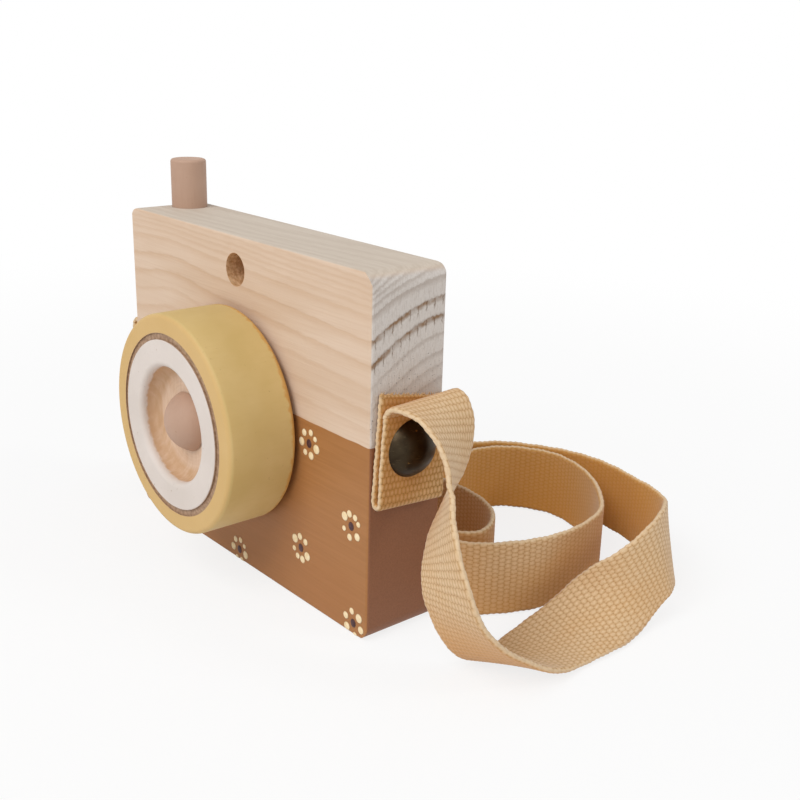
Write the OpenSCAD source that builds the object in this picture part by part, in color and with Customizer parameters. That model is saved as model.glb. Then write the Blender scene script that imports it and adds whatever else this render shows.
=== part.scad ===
// Wooden toy camera: a solid pine block with a turning lens, a press button,
// a sight hole and a neck strap of cotton webbing nailed to both ends.
// X runs along the width, the lens faces -Y, Z is up, and the origin is the middle of the underside.

/* [Block] */
// Width of the block
block_w = 110; // [95:1:130]
// Height of the block
block_h = 90; // [80:1:120]
// Thickness of the block, front to back
block_t = 22; // [20:0.5:30]
// Radius of the four corners seen from the front
corner_r = 4; // [2:0.5:10]
// Radius of the eased front and back edges
edge_r = 0.8; // [0.3:0.1:1.5]

/* [Sight hole] */
// Diameter of the sight hole
sight_d = 8.5; // [4:0.5:10]
// Distance from the top of the block down to the middle of the sight hole
sight_drop = 8.7; // [7:0.1:12]

/* [Lens] */
// Distance of the lens axis from the middle of the block, towards the right
lens_x = 0; // [-8:0.1:8]
// Height of the lens axis
lens_z = 43.9; // [34:0.1:48]
// Diameter of the lens barrel
lens_d = 56.6; // [52:0.2:64]
// Length of the lens barrel
lens_len = 18.9; // [16:0.1:26]
// Radius of the barrel's front edge
lens_front_r = 1.2; // [0.5:0.1:2.5]
// Radius of the barrel's rear edge
lens_rear_r = 1; // [0.3:0.1:2]
// Diameter of the white face disc
face_d = 43.8; // [40:0.1:45]
// Thickness of the white face disc
face_t = 8.6; // [8:0.1:11]
// How far the face disc stands proud of the barrel's rim
face_proud = 0.3; // [0.1:0.1:1]
// Radius of the face disc's front edge
face_edge_r = 0.3; // [0.2:0.1:1]
// Width of the bare groove around the face disc
groove_w = 1.6; // [1:0.1:2.5]
// Depth of the bare groove
groove_depth = 0.4; // [0.3:0.1:4]
// Diameter of the dish turned into the face disc
dish_d = 29.8; // [26:0.2:34]
// Depth of the dish
dish_depth = 5.6; // [4:0.1:6.5]
// Radius between the floor and the wall of the dish
dish_fillet_r = 4; // [1:0.1:4]
// Radius of the rounded mouth of the dish
dish_mouth_r = 1.5; // [0.3:0.1:2]
// Diameter of the domed head of the peg
nose_d = 15.4; // [12:0.2:17]
// Height of the domed head of the peg
nose_h = 5.5; // [4:0.1:7]
// Diameter of the peg's shank
peg_d = 8; // [6:0.5:10]
// Depth of the peg in the block
peg_bite = 14; // [8:0.5:17]
// Diameter of the washer behind the barrel
washer_d = 24; // [14:1:40]
// Thickness of the washer behind the barrel
washer_t = 1; // [0.6:0.1:2]

/* [Shutter button] */
// Diameter of the dowel
button_d = 10; // [8:0.5:11]
// Height of the dowel above the block
button_out = 13.5; // [10:0.5:20]
// Length of the dowel inside the block at rest
button_in = 20; // [18:0.5:22]
// Distance from the left end of the block to the dowel's axis
button_inset = 8; // [7.5:0.1:14]
// Distance of the dowel's axis behind the middle of the block
button_back = 3.5; // [0:0.1:3.5]
// Radius of the dowel's top edge
button_edge_r = 0.8; // [0.3:0.1:1.5]
// How far the button travels when pressed
button_travel = 5; // [3:0.5:6]
// Length of the return spring at rest
spring_len = 14; // [12:0.5:14]
// Outer diameter of the return spring
spring_d = 8; // [6:0.1:8]
// Diameter of the spring's wire
wire_d = 0.9; // [0.6:0.1:1.1]
// Number of coils in the return spring
spring_turns = 6; // [4:1:7]
// Diameter of the pin that keeps the button in
pin_d = 1.8; // [1.2:0.1:2.2]
// Diameter of the pin's head
pin_head_d = 3.4; // [2.8:0.1:4]
// Thickness of the pin's head
pin_head_t = 0.8; // [0.5:0.1:1]
// Distance from the top of the block down to the pin
pin_drop = 12; // [10:0.5:13]

/* [Strap] */
// Width of the webbing
strap_w = 20; // [15:0.5:20]
// Thickness of the webbing
strap_t = 1.5; // [1:0.1:2]
// Gap between the two layers of a folded end
fold_gap = 0.5; // [0.3:0.1:0.8]
// Distance from the bend of a folded end to its nail
fold_to_nail = 12.7; // [11:0.1:15]
// Length of the folded end from its bend to where the free strap begins
fold_to_strap = 21; // [20:0.5:24]
// Length of the inner layer from the bend to the cut end
fold_to_cut = 25.5; // [22:0.5:28]
// Lean of the right folded end towards the back, in degrees
end_lean = 4; // [0:0.5:6]

/* [Nails] */
// Height of the right nail
right_nail_z = 49; // [40:0.5:52]
// Height of the left nail
left_nail_z = 41.5; // [36:0.5:46]
// Distance of the nails in front of the block's middle
nail_front = 1.2; // [0:0.1:3]
// Diameter of a nail's domed cap
cap_d = 14; // [10:0.5:15]
// Height of a nail's domed cap
cap_h = 4.2; // [3:0.1:6]
// Diameter of a nail's flat head inside the cap
head_d = 8; // [5:0.5:8.5]
// Thickness of a nail's flat head
head_t = 1.2; // [0.8:0.1:1.6]
// Diameter of a nail's shank
shank_d = 1.8; // [1.2:0.1:2.4]
// Depth of a nail in the block
shank_bite = 12; // [8:0.5:18]
// Length of a nail's point
shank_tip = 3; // [2:0.5:4]

/* [Hidden] */

$fn = 96;
// Every cut runs past the face that it opens by this much
overrun = 1;
// Radial clearance of a glued or driven piece in its hole
glue_fit = 0.03;
// Radial clearance of a piece that turns
turn_fit = 0.06;
// Radial clearance of a piece that slides
slide_fit = 0.1;
// Clear space between faces that pass each other
run_gap = 0.3;

block_front = -block_t / 2;
block_back = block_t / 2;
block_right = block_w / 2;

sight_z = block_h - sight_drop;

lens_rear_y = block_front - washer_t - run_gap;
lens_front_y = lens_rear_y - lens_len;
face_seat_y = lens_front_y - face_proud + face_t;
dish_floor_y = lens_front_y - face_proud + dish_depth;
peg_head_y = dish_floor_y - run_gap;
peg_end_y = block_front + peg_bite;

button_x = button_inset - block_w / 2;
button_bottom_z = block_h - button_in;
spring_seat_z = button_bottom_z - run_gap - spring_len;
pin_z = block_h - pin_drop;
pin_tip_y = button_back;
pin_head_y = block_back - pin_head_t;

fold_r = fold_gap / 2 + strap_t;
end_outer = 2 * strap_t + fold_gap;
strap_mid = strap_t + fold_gap + strap_t / 2;

// Free strap: middle of the webbing, then the direction from its one edge to the other.
// It leaves the right end upwards, bends over, hangs, rolls onto the floor, stands up on edge
// through two loops and a curl, runs left behind the block and climbs to the left end.
end_lead = fold_to_strap - fold_to_nail;
right_start = [
    block_right + strap_mid, end_lead * sin(end_lean), right_nail_z + end_lead * cos(end_lean),
    0, -cos(end_lean), sin(end_lean),
];
left_start = [-block_right - strap_mid, 0, left_nail_z - end_lead, 0, -1, 0];
// Direction in which the webbing leaves the right end and arrives at the left end
strap_lead = 4;
right_lead = [0, strap_lead * sin(end_lean), strap_lead * cos(end_lean), 0, 0, 0];
left_lead = [0, 0, strap_lead, 0, 0, 0];
// Width and back of the block that the route is drawn for
drawn_w = 110;
drawn_back = 11;
hanging = [
    [60, 0.5, 60.5, 0, -1, -0.05], [64, 0.5, 60.5, 0.05, -1, 0], [68, 0.5, 58, 0.2, -0.95, 0.15],
    [71, 0, 53.5, 0.4, -0.9, 0.25], [73, -1.5, 48, 0.55, -0.75, 0.4], [74, -4, 42.5, 0.65, -0.5, 0.5],
    [76, -7.5, 37, 0.75, -0.35, 0.55], [79, -10, 31.5, 0.85, -0.25, 0.5],
    [81.5, -10.5, 25.5, 0.9, -0.15, 0.3], [83, -9, 19, 1, -0.05, 0.15],
    [84.5, -5, 12, 0.95, 0.05, 0.25], [85.5, 0.5, 6.5, 0.95, 0.1, 0.35],
    [86, 7.5, 3.2, 0.95, 0.15, 0.2], [85.5, 15, 2.2, 1, 0.05, 0], [85, 23, 2.5, 1, 0, -0.15],
    [85.5, 30.5, 4.2, 0.95, 0, -0.3], [86.5, 36.5, 6.5, 0.85, 0.1, -0.55],
    [88, 42, 9.5, 0.55, 0.35, -0.75], [89.5, 47.5, 13, 0.3, 0.45, -0.85],
    [89.5, 54.5, 16, 0.25, 0.25, -0.95], [86.5, 61.5, 16.5, 0.25, 0.05, -0.95],
    [82, 67.5, 15, 0.25, -0.1, -0.95], [76.5, 73, 12.5, 0.15, -0.2, -0.95],
    [70.5, 77.5, 11, 0, -0.2, -1], [64.5, 81.5, 10.5, -0.05, -0.1, -1],
];
// Plan of the stretch that stands on edge
on_edge = [
    [57.5, 84.5], [49, 86.5], [40, 87], [30.5, 85], [21.5, 80.5], [13.5, 74.5], [8.5, 66], [5, 57],
    [5, 49], [10, 44.5], [15, 48], [14, 57], [13.5, 65], [17, 72.5], [23, 77.5], [31, 80.5], [41, 79],
    [51, 74], [59.5, 67], [65.5, 60], [68.5, 51.5], [69.5, 43], [68.5, 34], [65.5, 26], [61, 19],
    [54, 14.5], [45, 13], [36, 13], [29, 15.5], [28, 20.5], [33, 22.5], [40, 19.5], [47, 17.5],
    [52.5, 19], [56, 24], [54.5, 29.5], [50.5, 34.5], [45, 38], [38, 40], [29, 40.5], [19, 40.5],
    [7, 42.5], [-6, 46], [-20, 50], [-33, 53], [-45, 54], [-55, 51],
];
rising = [
    [-62, 45, 9.9, -0.3, 0, -0.95], [-65, 37, 7.2, -0.7, 0, -0.6], [-66.5, 29, 3.9, -0.95, 0, -0.3],
    [-67, 21, 1.7, -1, 0, 0], [-67, 13.5, 1.7, -1, 0, 0.05], [-67, 7.5, 4.2, -0.95, 0, 0.2],
    [-66, 3.5, 9.5, -0.9, -0.2, 0.2], [-64, 1.5, 16, -0.75, -0.55, 0.2], [-61.5, 0.5, 23, -0.5, -0.85, 0.1],
    [-59, 0, 29.5, -0.2, -1, 0],
];
on_edge_z = strap_w / 2 + run_gap;
standing = [for (p = on_edge) [p[0], p[1] + block_back - drawn_back, on_edge_z, 0, 0, -1]];
drawn_route = concat(hanging, standing, rising);
widened = [for (p = drawn_route) [p[0] * block_w / drawn_w, p[1], p[2], p[3], p[4], p[5]]];
route = concat([right_start], widened, [left_start]);

// Rings between two neighbouring points of the route
strap_steps = 3;
// How far along the webbing two places have to be to count as separate strands
strand_apart = 24;
// Share of the thickness and of the width that the corners of the webbing's section keep
corner_shares = [0.6, 0.97];

// Rings per coil and sides of the wire
spring_rings = 12;
spring_sides = 6;
// Share of the climb that the coil's ends give up to lie flat
spring_flat_share = 0.5;

// Helpers

// Quarter of a square corner that lies outside its inscribed circle, to be cut away
module corner_cut(r) {
    difference() {
        square(r + overrun);
        circle(r);
    }
}

// Rectangle whose far corners, next to x = w, are rounded by r_low and r_high
module turned_bar(w, h, r_low, r_high) {
    difference() {
        square([w, h]);
        translate([w - r_low, r_low])
            mirror([0, 1])
                corner_cut(r_low);
        translate([w - r_high, h - r_high])
            corner_cut(r_high);
    }
}

module rounded_plate(w, h, r) {
    union() {
        translate([r - w / 2, -h / 2])
            square([w - 2 * r, h]);
        translate([-w / 2, r - h / 2])
            square([w, h - 2 * r]);
        for (x = [r - w / 2, w / 2 - r], y = [r - h / 2, h / 2 - r])
            translate([x, y])
                circle(r);
    }
}

// Turned shape about the lens axis: the drawing's height runs towards -Y from the plane at y
module turn_on_lens(y) {
    translate([lens_x, y, lens_z])
        rotate([90, 0, 0])
            rotate_extrude()
                children();
}

// Spherical cap with base radius r and height h, standing on z = 0
module cap_profile(r, h) {
    ball_r = (r * r + h * h) / (2 * h);
    intersection() {
        square([r, h]);
        translate([0, h - ball_r])
            circle(ball_r);
    }
}

// Cylinder along Y from y0 to y1
module rod_y(x, z, r, y0, y1) {
    translate([x, y0, z])
        rotate([-90, 0, 0])
            cylinder(r = r, h = y1 - y0);
}

// Placed on the right end of the block at height z, or mirrored onto the left end, with Z pointing outwards
module at_end(side, z) {
    translate([side * block_right, -nail_front, z])
        rotate([0, side * 90, 0])
            children();
}

function unit(v) = v / norm(v);
function point_of(p) = [p[0], p[1], p[2]];
function width_of(p) = [p[3], p[4], p[5]];
function spline(a, b, c, d, u) =
    (2 * b + (c - a) * u + (2 * a - 5 * b + 4 * c - d) * u * u + (3 * b - a - 3 * c + d) * u * u * u) / 2;
function spline_slope(a, b, c, d, u) =
    (c - a + 2 * (2 * a - 5 * b + 4 * c - d) * u + 3 * (3 * b - a - 3 * c + d) * u * u) / 2;

// Faces of a tube of closed rings, all with the same number of points
function tube_faces(rings, sides) = concat(
    [for (i = [0 : rings - 2], k = [0 : sides - 1], half = [0, 1])
        let (a = i * sides + k, b = i * sides + (k + 1) % sides, c = b + sides, d = a + sides)
        half == 0 ? [a, c, b] : [a, d, c]],
    [for (k = [1 : sides - 2]) [0, k, k + 1]],
    [for (k = [1 : sides - 2]) let (e = (rings - 1) * sides) [e, e + k + 1, e + k]]
);

// Wooden parts

module body_block() {
    color("burlywood")
        difference() {
            translate([0, 0, block_h / 2])
                intersection() {
                    rotate([90, 0, 0])
                        linear_extrude(block_t, center = true)
                            rounded_plate(block_w, block_h, corner_r);
                    linear_extrude(block_h, center = true)
                        rounded_plate(block_w, block_t, edge_r);
                    rotate([90, 0, 90])
                        linear_extrude(block_w, center = true)
                            rounded_plate(block_t, block_h, edge_r);
                }
            rod_y(0, sight_z, sight_d / 2, block_front - overrun, block_back + overrun);
            rod_y(lens_x, lens_z, peg_d / 2 + glue_fit, block_front - overrun, peg_end_y);
            translate([button_x, button_back, spring_seat_z])
                cylinder(d = button_d + 2 * slide_fit, h = block_h - spring_seat_z + overrun);
            rod_y(button_x, pin_z, pin_d / 2 + glue_fit, button_back, block_back + overrun);
            rod_y(button_x, pin_z, pin_head_d / 2 + glue_fit, pin_head_y, block_back + overrun);
            nail_hole(1, right_nail_z);
            nail_hole(-1, left_nail_z);
        }
}

module nail_hole(side, z) {
    at_end(side, z)
        rotate_extrude()
            nail_profile(glue_fit, overrun);
}

module lens_barrel() {
    color("khaki")
        turn_on_lens(lens_rear_y)
            difference() {
                turned_bar(lens_d / 2, lens_len, lens_rear_r, lens_front_r);
                translate([0, lens_rear_y - face_seat_y])
                    square([face_d / 2 + glue_fit, face_t + overrun]);
                translate([0, lens_len - groove_depth])
                    square([face_d / 2 + groove_w, groove_depth + overrun]);
                translate([0, -overrun])
                    square([peg_d / 2 + turn_fit, lens_len + 2 * overrun]);
            }
}

module lens_face() {
    dish_r = dish_d / 2;
    color("ivory")
        turn_on_lens(face_seat_y)
            difference() {
                turned_bar(face_d / 2, face_t, 0, face_edge_r);
                translate([0, face_t + overrun])
                    mirror([0, 1])
                        turned_bar(dish_r, dish_depth + overrun, 0, dish_fillet_r);
                translate([dish_r + dish_mouth_r, face_t - dish_mouth_r])
                    mirror([1, 0])
                        corner_cut(dish_mouth_r);
                translate([0, -overrun])
                    square([peg_d / 2 + turn_fit, face_t]);
            }
}

module lens_peg() {
    color("rosybrown")
        union() {
            turn_on_lens(peg_head_y)
                cap_profile(nose_d / 2, nose_h);
            rod_y(lens_x, lens_z, peg_d / 2, peg_head_y, peg_end_y);
        }
}

module lens_washer() {
    color("saddlebrown")
        turn_on_lens(block_front)
            translate([peg_d / 2 + glue_fit, 0])
                square([(washer_d - peg_d) / 2 - glue_fit, washer_t]);
}

// Shutter button

module shutter_button() {
    slot_w = pin_d + 2 * run_gap;
    slot_h = pin_d + button_travel + 2 * run_gap;
    color("rosybrown")
        difference() {
            translate([button_x, button_back, button_bottom_z])
                rotate_extrude()
                    turned_bar(button_d / 2, button_in + button_out, 0, button_edge_r);
            translate([button_x - slot_w / 2, pin_tip_y - run_gap, pin_z - pin_d / 2 - run_gap])
                cube([slot_w, button_d, slot_h]);
        }
}

// The coil lies flat on its seats at both ends and opens up in between
module shutter_spring() {
    coil_r = (spring_d - wire_d) / 2;
    rise = spring_len - wire_d;
    count = spring_turns * spring_rings;
    rings = [for (i = [0 : count])
        let (share = i / count, angle = 360 * spring_turns * share, height = rise * coil_lift(share))
        for (k = [0 : spring_sides - 1])
            let (turn = 360 * k / spring_sides, out = coil_r + wire_d / 2 * cos(turn))
            [out * cos(angle), out * sin(angle), height + wire_d / 2 * sin(turn)]];
    color("silver")
        translate([button_x, button_back, spring_seat_z + wire_d / 2])
            polyhedron(rings, tube_faces(count + 1, spring_sides));
}

// Share of the height that the coil has climbed after that share of its turns
function coil_lift(share) = share - sin(360 * share) * spring_flat_share / (2 * PI);

module shutter_stop_pin() {
    color("silver")
        union() {
            rod_y(button_x, pin_z, pin_d / 2, pin_tip_y, block_back);
            rod_y(button_x, pin_z, pin_head_d / 2, pin_head_y, block_back);
        }
}

// Strap

// Middle of the webbing, the direction across it and the direction out of its face, at a share u of segment i
function strap_ring(i, u) =
    let (
        last = len(route) - 1,
        a = i == 0 ? route[0] - right_lead : route[i - 1],
        b = route[i],
        c = route[i + 1],
        d = i + 2 > last ? route[last] + left_lead : route[i + 2],
        p = spline(a, b, c, d, u),
        at_start = i == 0 && u == 0,
        at_finish = i == last - 1 && u == 1,
        slope = at_start ? right_lead : at_finish ? left_lead : spline_slope(a, b, c, d, u),
        along = unit(point_of(slope)),
        across = width_of(p),
        wide = unit(across - (across * along) * along)
    )
    [point_of(p), wide, cross(along, wide)];

strap_rings = [
    for (i = [0 : len(route) - 2], k = [0 : strap_steps - 1]) strap_ring(i, k / strap_steps),
    strap_ring(len(route) - 2, 1),
];

// The section of the webbing: flat faces with narrow rounded edges
strap_section = let (w = strap_w / 2, t = strap_t / 2, tt = t * corner_shares[0], ww = w * corner_shares[1])
    [[w, -tt], [w, tt], [ww, t], [-ww, t], [-w, tt], [-w, -tt], [-ww, -t], [ww, -t]];

module strap() {
    points = [for (r = strap_rings, q = strap_section) r[0] + q[0] * r[1] + q[1] * r[2]];
    color("tan")
        polyhedron(points, tube_faces(len(strap_rings), len(strap_section)));
}

// Distance from p to the line between a and b
function off_line(p, a, b) =
    let (d = b - a, u = max(0, min(1, (p - a) * d / (d * d))))
    norm(p - a - u * d);
function running(lengths, i = 0, sum = 0) =
    i == len(lengths) ? [sum] : concat([sum], running(lengths, i + 1, sum + lengths[i]));
strap_at = running([for (i = [0 : len(strap_rings) - 2]) norm(strap_rings[i + 1][0] - strap_rings[i][0])]);
strap_lines = [for (side = [-1, 0, 1]) [for (r = strap_rings) r[0] + side * strap_w / 2 * r[1]]];
strand_gaps = [
    for (i = [0 : len(strap_rings) - 1], j = [0 : len(strap_rings) - 2])
        if (abs(strap_at[i] - strap_at[j]) > strand_apart)
            if (norm(strap_rings[i][0] - strap_rings[j][0]) < strap_w)
                min([for (one = strap_lines, other = strap_lines) off_line(one[i], other[j], other[j + 1])])
];
echo(strap_length = strap_at[len(strap_at) - 1], strap_least_gap = min(strand_gaps) - strap_t);

// A folded end: inner layer on the wood, bend below, outer layer up to the free strap, nail at z = 0
module folded_end() {
    translate([0, 0, -fold_to_nail])
        rotate([90, 0, 0])
            linear_extrude(strap_w, center = true)
                union() {
                    square([strap_t, fold_to_cut]);
                    translate([strap_t + fold_gap, 0])
                        square([strap_t, fold_to_strap]);
                    translate([fold_r, 0])
                        difference() {
                            circle(fold_r);
                            circle(fold_gap / 2);
                            translate([-fold_r - overrun, 0])
                                square([2 * fold_r + 2 * overrun, fold_r + overrun]);
                        }
                }
}

module strap_end_right() {
    color("tan")
        difference() {
            translate([block_right, 0, right_nail_z])
                rotate([-end_lean, 0, 0])
                    folded_end();
            nail_hole(1, right_nail_z);
        }
}

module strap_end_left() {
    color("tan")
        difference() {
            translate([-block_right, 0, left_nail_z])
                mirror([0, 0, 1])
                    mirror([1, 0, 0])
                        folded_end();
            nail_hole(-1, left_nail_z);
        }
}

// Nails

// Shank and point below the flat head, widened by fit and lengthened upwards by extra
module nail_profile(fit, extra) {
    r = shank_d / 2 + fit;
    translate([0, shank_tip - shank_bite])
        square([r, shank_bite - shank_tip + end_outer + extra]);
    polygon([[0, -shank_bite], [r, shank_tip - shank_bite], [0, shank_tip - shank_bite]]);
}

module nail(side, z) {
    color("dimgray")
        at_end(side, z)
            rotate_extrude()
                union() {
                    nail_profile(0, 0);
                    translate([0, end_outer])
                        square([head_d / 2, head_t]);
                }
}

module cap(side, z) {
    color("darkolivegreen")
        at_end(side, z)
            translate([0, 0, end_outer])
                rotate_extrude()
                    difference() {
                        cap_profile(cap_d / 2, cap_h);
                        translate([0, -overrun])
                            square([head_d / 2 + glue_fit, head_t + overrun]);
                    }
}

module tack_cap_right() { cap(1, right_nail_z); }
module tack_nail_right() { nail(1, right_nail_z); }
module tack_cap_left() { cap(-1, left_nail_z); }
module tack_nail_left() { nail(-1, left_nail_z); }

body_block();
lens_barrel();
lens_face();
lens_peg();
lens_washer();
shutter_button();
shutter_spring();
shutter_stop_pin();
strap();
strap_end_right();
strap_end_left();
tack_cap_right();
tack_nail_right();
tack_cap_left();
tack_nail_left();
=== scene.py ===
"""Looks of the wooden toy camera: pine block, painted lens, press button and a webbing strap.

Everything is in the frame of the solids: metres, X along the width, lens towards -Y, Z up, floor at Z = 0.
Named sizes are in millimetres, unless a name or comment says otherwise, and MM turns them into metres.
"""
import math

import bpy
import numpy as np
from mathutils import Matrix, Vector


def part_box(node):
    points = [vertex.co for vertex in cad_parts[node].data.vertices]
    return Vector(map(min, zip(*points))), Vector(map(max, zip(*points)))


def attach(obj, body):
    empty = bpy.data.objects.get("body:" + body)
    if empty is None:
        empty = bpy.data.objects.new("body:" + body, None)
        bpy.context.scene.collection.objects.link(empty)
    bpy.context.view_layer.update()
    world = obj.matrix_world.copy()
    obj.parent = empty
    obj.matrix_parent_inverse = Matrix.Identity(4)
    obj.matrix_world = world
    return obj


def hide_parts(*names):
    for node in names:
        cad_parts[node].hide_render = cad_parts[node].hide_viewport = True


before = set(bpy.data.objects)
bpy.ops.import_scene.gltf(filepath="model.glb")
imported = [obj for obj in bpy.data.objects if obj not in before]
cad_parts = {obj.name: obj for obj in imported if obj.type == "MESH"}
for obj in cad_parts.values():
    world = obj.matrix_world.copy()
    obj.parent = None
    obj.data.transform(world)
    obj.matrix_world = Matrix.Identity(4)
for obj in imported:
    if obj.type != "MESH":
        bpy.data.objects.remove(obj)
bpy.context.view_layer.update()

scene = bpy.context.scene
MM = 0.001


def box_mm(node):
    """Lowest and highest corner of a solid, in millimetres."""
    low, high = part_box(node)
    return low / MM, high / MM


def mesh_piece(name, verts, faces, material):
    """New object from points in millimetres."""
    mesh = bpy.data.meshes.new(name)
    mesh.from_pydata((np.array(verts) * MM).tolist(), [], faces)
    mesh.materials.append(material)
    piece = bpy.data.objects.new(name, mesh)
    scene.collection.objects.link(piece)
    return piece


# Camera

IMAGE_PX = 800
FOCAL_PX = 1119.0
SENSOR_MM = 36.0
CLIP_START_M = 0.01
CAMERA_AT = (238.5, -159.4, 140.2)
AZIMUTH, ELEVATION, ROLL = (math.radians(a) for a in (49.436, 18.405, 1.447))


def make_camera():
    """The camera stands in front of the right end, looks down a little and is rolled slightly."""
    back = Vector((
        math.sin(AZIMUTH) * math.cos(ELEVATION),
        -math.cos(AZIMUTH) * math.cos(ELEVATION),
        math.sin(ELEVATION),
    ))
    level = Vector((math.cos(AZIMUTH), math.sin(AZIMUTH), 0))
    steep = back.cross(level)
    right = math.cos(ROLL) * level + math.sin(ROLL) * steep
    up = math.cos(ROLL) * steep - math.sin(ROLL) * level
    data = bpy.data.cameras.new("camera")
    data.sensor_width = SENSOR_MM
    data.lens = SENSOR_MM * FOCAL_PX / IMAGE_PX
    data.clip_start = CLIP_START_M
    at = Vector(CAMERA_AT) * MM
    camera = bpy.data.objects.new("camera", data)
    camera.matrix_world = Matrix((
        (right.x, up.x, back.x, at.x),
        (right.y, up.y, back.y, at.y),
        (right.z, up.z, back.z, at.z),
        (0, 0, 0, 1),
    ))
    scene.collection.objects.link(camera)
    scene.camera = camera


make_camera()


# Route of the free strap: middle of the webbing, then the direction across it

END_LEAN = math.radians(4)
NAIL_TO_STRAP = 8.3
RIGHT_NAIL_Z = 49.0
LEFT_NAIL_Z = 41.5
BLOCK_RIGHT = 55.0
STRAP_MID = 2.75
LEAD = 4.0
ON_EDGE_Z = 10.3
SPLINE_STEPS = 24
RIGHT_START = (
    BLOCK_RIGHT + STRAP_MID,
    NAIL_TO_STRAP * math.sin(END_LEAN),
    RIGHT_NAIL_Z + NAIL_TO_STRAP * math.cos(END_LEAN),
    0, -math.cos(END_LEAN), math.sin(END_LEAN),
)
LEFT_START = (-BLOCK_RIGHT - STRAP_MID, 0, LEFT_NAIL_Z - NAIL_TO_STRAP, 0, -1, 0)
RIGHT_LEAD = (0, LEAD * math.sin(END_LEAN), LEAD * math.cos(END_LEAN), 0, 0, 0)
LEFT_LEAD = (0, 0, LEAD, 0, 0, 0)
HANGING = [
    (60, 0.5, 60.5, 0, -1, -0.05), (64, 0.5, 60.5, 0.05, -1, 0), (68, 0.5, 58, 0.2, -0.95, 0.15),
    (71, 0, 53.5, 0.4, -0.9, 0.25), (73, -1.5, 48, 0.55, -0.75, 0.4), (74, -4, 42.5, 0.65, -0.5, 0.5),
    (76, -7.5, 37, 0.75, -0.35, 0.55), (79, -10, 31.5, 0.85, -0.25, 0.5),
    (81.5, -10.5, 25.5, 0.9, -0.15, 0.3), (83, -9, 19, 1, -0.05, 0.15),
    (84.5, -5, 12, 0.95, 0.05, 0.25), (85.5, 0.5, 6.5, 0.95, 0.1, 0.35),
    (86, 7.5, 3.2, 0.95, 0.15, 0.2), (85.5, 15, 2.2, 1, 0.05, 0), (85, 23, 2.5, 1, 0, -0.15),
    (85.5, 30.5, 4.2, 0.95, 0, -0.3), (86.5, 36.5, 6.5, 0.85, 0.1, -0.55),
    (88, 42, 9.5, 0.55, 0.35, -0.75), (89.5, 47.5, 13, 0.3, 0.45, -0.85),
    (89.5, 54.5, 16, 0.25, 0.25, -0.95), (86.5, 61.5, 16.5, 0.25, 0.05, -0.95),
    (82, 67.5, 15, 0.25, -0.1, -0.95), (76.5, 73, 12.5, 0.15, -0.2, -0.95),
    (70.5, 77.5, 11, 0, -0.2, -1), (64.5, 81.5, 10.5, -0.05, -0.1, -1),
]
ON_EDGE = [
    (57.5, 84.5), (49, 86.5), (40, 87), (30.5, 85), (21.5, 80.5), (13.5, 74.5), (8.5, 66), (5, 57),
    (5, 49), (10, 44.5), (15, 48), (14, 57), (13.5, 65), (17, 72.5), (23, 77.5), (31, 80.5), (41, 79),
    (51, 74), (59.5, 67), (65.5, 60), (68.5, 51.5), (69.5, 43), (68.5, 34), (65.5, 26), (61, 19),
    (54, 14.5), (45, 13), (36, 13), (29, 15.5), (28, 20.5), (33, 22.5), (40, 19.5), (47, 17.5),
    (52.5, 19), (56, 24), (54.5, 29.5), (50.5, 34.5), (45, 38), (38, 40), (29, 40.5), (19, 40.5),
    (7, 42.5), (-6, 46), (-20, 50), (-33, 53), (-45, 54), (-55, 51),
]
RISING = [
    (-62, 45, 9.9, -0.3, 0, -0.95), (-65, 37, 7.2, -0.7, 0, -0.6), (-66.5, 29, 3.9, -0.95, 0, -0.3),
    (-67, 21, 1.7, -1, 0, 0), (-67, 13.5, 1.7, -1, 0, 0.05), (-67, 7.5, 4.2, -0.95, 0, 0.2),
    (-66, 3.5, 9.5, -0.9, -0.2, 0.2), (-64, 1.5, 16, -0.75, -0.55, 0.2),
    (-61.5, 0.5, 23, -0.5, -0.85, 0.1), (-59, 0, 29.5, -0.2, -1, 0),
]
STANDING = [(x, y, ON_EDGE_Z, 0, 0, -1) for x, y in ON_EDGE]
ROUTE = [RIGHT_START, *HANGING, *STANDING, *RISING, LEFT_START]


def unit_rows(v):
    """Rows of v at length 1."""
    return v / np.linalg.norm(v, axis=1)[:, None]


def run_of(points):
    """Distance travelled at each point of a line."""
    return np.concatenate([[0], np.cumsum(np.linalg.norm(np.diff(points, axis=0), axis=1))])


def strap_line():
    """Fine points of the route and the direction across the webbing at each of them."""
    route = np.array(ROUTE, float)
    knots = np.vstack([route[0] - RIGHT_LEAD, route, route[-1] + LEFT_LEAD])
    rows = []
    # Each stretch runs from b to c, and its neighbours a and d set the directions there
    for a, b, c, d in zip(knots, knots[1:], knots[2:], knots[3:]):
        for t in np.arange(SPLINE_STEPS) / SPLINE_STEPS:
            bend = (2 * a - 5 * b + 4 * c - d) * t ** 2 + (3 * b - a - 3 * c + d) * t ** 3
            rows.append((2 * b + (c - a) * t + bend) / 2)
    rows.append(route[-1])
    rows = np.array(rows)
    return rows[:, :3], rows[:, 3:]


# Webbing: a ribbon with a real weave. u runs along it and v across it.

STRAP_W = 20.0
STRAP_T = 1.36
CELLS = 17
CELL_W = STRAP_W / CELLS
ROW_L = 1.6
SAMPLES_PER_ROW = 4
SAMPLES_PER_CELL = 2
EDGE_BAND = 0.75
SKEW_REACH = 10.0

# Each thread is a hump over its cell. Its flanks are steeper along the webbing than across it.
RELIEF = 0.08
ROW_POWER = 2.2
CELL_POWER = 2.0
CELL_LOW = 0.3

# The edges ripple with every row, and slowly over several rows
SCALLOP = 0.16
RIPPLE_CELLS = 2
SLOW_SHARE = 0.7
SLOW_ROWS = 4.3
SLOW_PHASE = 1.0


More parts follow.
